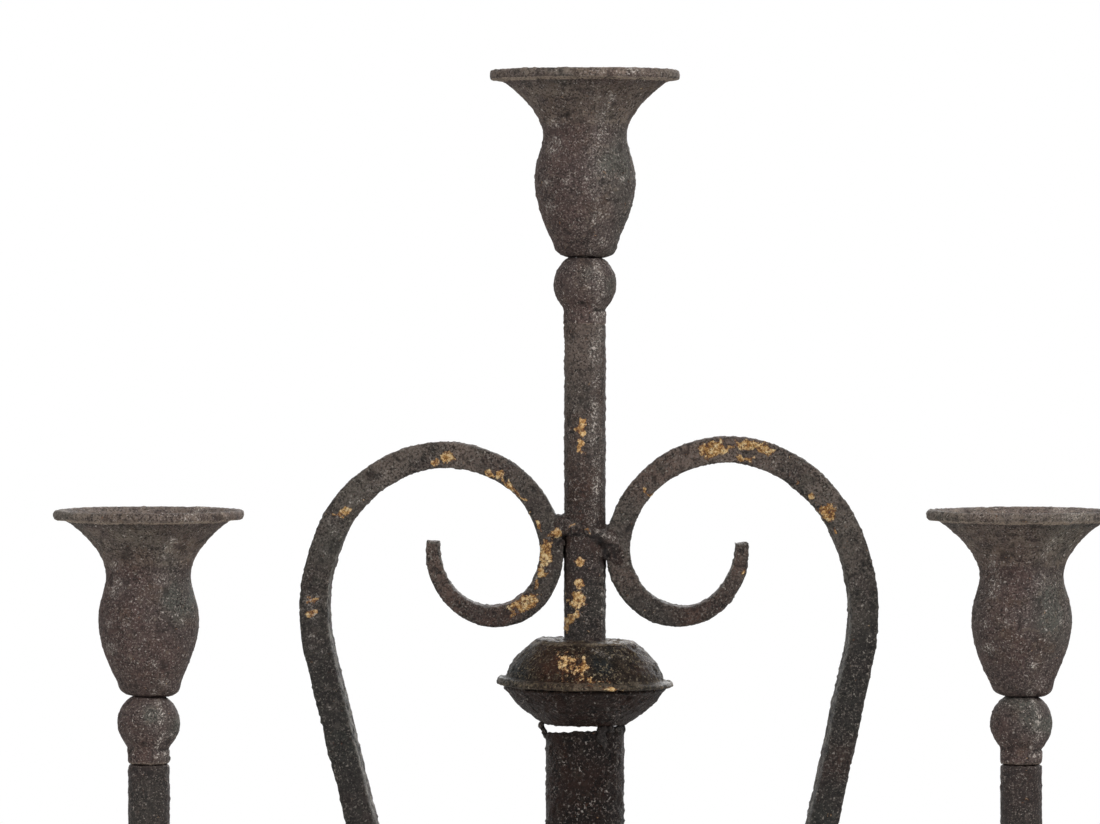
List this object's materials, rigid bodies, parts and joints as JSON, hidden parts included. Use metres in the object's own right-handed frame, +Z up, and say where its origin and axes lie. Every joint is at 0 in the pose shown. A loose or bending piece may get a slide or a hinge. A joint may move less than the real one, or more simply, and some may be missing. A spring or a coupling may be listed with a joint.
{
  "type": "torchere candle stand",
  "caption": "Floor-standing iron torchere with three candle cups, hand-forged scrolls, a pressed knop and four scrolled legs.",
  "frame": {"origin": "on the floor, on the axis of the shaft", "axes": "+Z up along the shaft; the scrolls, arms and side cups lie in the XZ plane; the pictured side faces -Y"},
  "size_m": [0.5626, 0.5626, 1.6],
  "materials": {
    "cup_iron": "worn dark paint over cast iron, granular, with rust and pale scuffs",
    "pipe_iron": "old dark paint on pipe, rusted, traces of gilding",
    "bar_iron": "blackened forged bar, old paint, rust and traces of gilding",
    "shaft_iron": "dark blistered paint over rusted iron",
    "weld_iron": "painted weld beads",
    "screw_steel": "dull dirty steel"
  },
  "bodies": {
    "root": {"foot_pad_1": "shaft_iron", "foot_pad_2": "shaft_iron", "foot_pad_3": "shaft_iron", "foot_pad_4": "shaft_iron", "knop_lower_shell": "shaft_iron", "knop_tack_back": "weld_iron", "knop_tack_front": "weld_iron", "knop_tack_left": "weld_iron", "knop_tack_right": "weld_iron", "knop_upper_shell": "shaft_iron", "left_arm": "bar_iron", "left_arm_pipe": "pipe_iron", "left_arm_weld": "weld_iron", "left_candle_cup": "cup_iron", "left_cup_ball": "cup_iron", "left_cup_screw": "screw_steel", "left_scroll": "bar_iron", "left_scroll_weld": "weld_iron", "leg_1": "bar_iron", "leg_2": "bar_iron", "leg_3": "bar_iron", "leg_4": "bar_iron", "leg_weld_1": "weld_iron", "leg_weld_2": "weld_iron", "leg_weld_3": "weld_iron", "leg_weld_4": "weld_iron", "main_shaft": "shaft_iron", "middle_candle_cup": "cup_iron", "middle_cup_ball": "cup_iron", "middle_cup_screw": "screw_steel", "middle_pipe": "pipe_iron", "right_arm": "bar_iron", "right_arm_pipe": "pipe_iron", "right_arm_weld": "weld_iron", "right_candle_cup": "cup_iron", "right_cup_ball": "cup_iron", "right_cup_screw": "screw_steel", "right_scroll": "bar_iron", "right_scroll_weld": "weld_iron", "shaft_finial": "shaft_iron", "waist_band": "bar_iron"}
  },
  "joints": []
}
